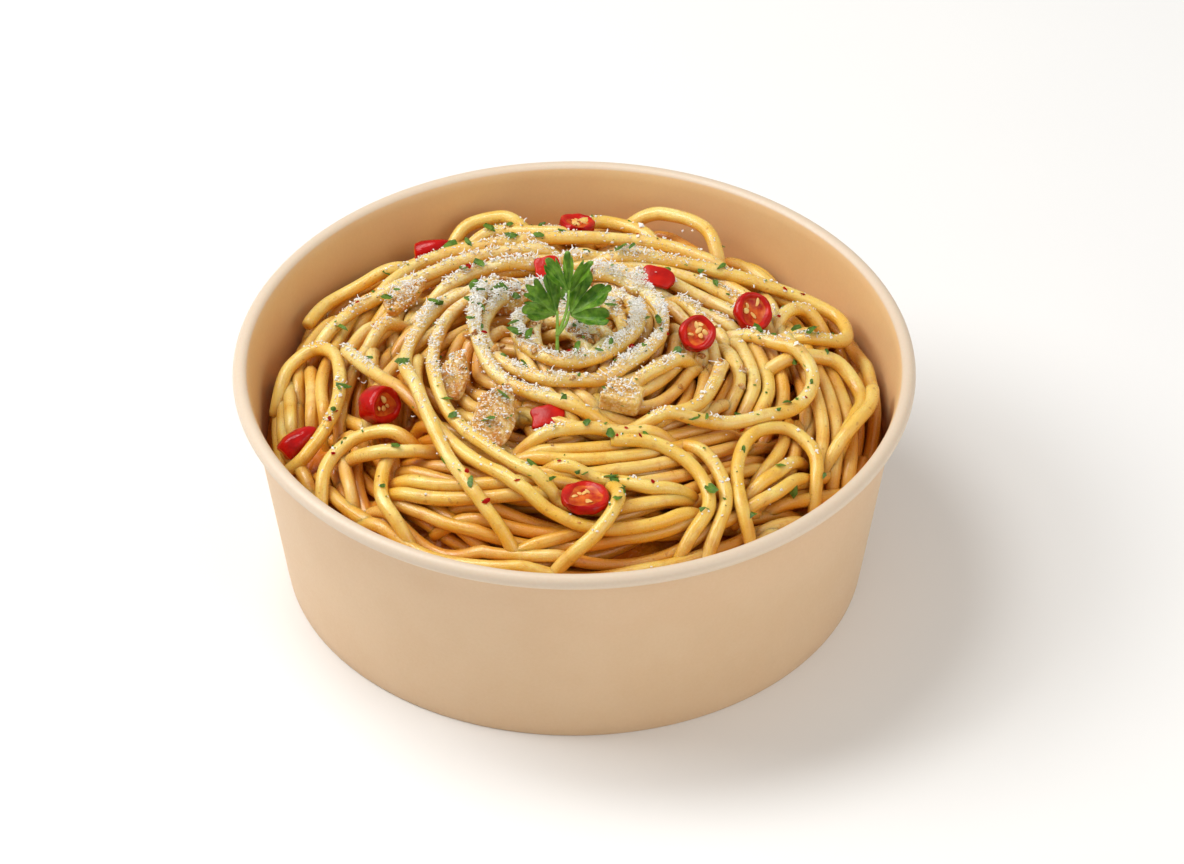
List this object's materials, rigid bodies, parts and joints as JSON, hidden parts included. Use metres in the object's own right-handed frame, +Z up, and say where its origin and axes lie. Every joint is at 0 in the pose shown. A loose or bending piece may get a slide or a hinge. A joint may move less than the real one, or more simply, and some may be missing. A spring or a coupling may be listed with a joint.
{
  "type": "noodle takeaway bowl",
  "caption": "Round tapered paper takeaway bowl with a rolled rim, filled with dressed thick spaghetti and topped with chilli slices, fried garlic and a parsley sprig.",
  "frame": {"origin": "middle of the foot ring, on the surface that the bowl stands on", "axes": "+Z up along the bowl's axis, -Y towards the viewer of the picture, +X to the viewer's right"},
  "size_m": [0.15, 0.15, 0.0753],
  "materials": {
    "paper": "matt peach-brown paper board",
    "noodle": "oiled cooked pasta, with chopped herbs and grated cheese",
    "chilli": "glossy fresh red chilli, pale inside",
    "garlic": "fried garlic, golden with browned edges",
    "parsley": "fresh flat parsley leaf"
  },
  "bodies": {
    "root": {"bowl": "paper", "noodles": "noodle", "chilli_tail": "chilli", "chilli_left": "chilli", "chilli_middle": "chilli", "chilli_front": "chilli", "chilli_back_left": "chilli", "chilli_back": "chilli", "chilli_near_sprig": "chilli", "chilli_square": "chilli", "chilli_right": "chilli", "chilli_ring": "chilli", "garlic_slice": "garlic", "garlic_chip": "garlic", "garlic_nest": "garlic", "garlic_cube": "garlic", "garlic_back": "garlic", "parsley_sprig": "parsley"}
  },
  "joints": []
}
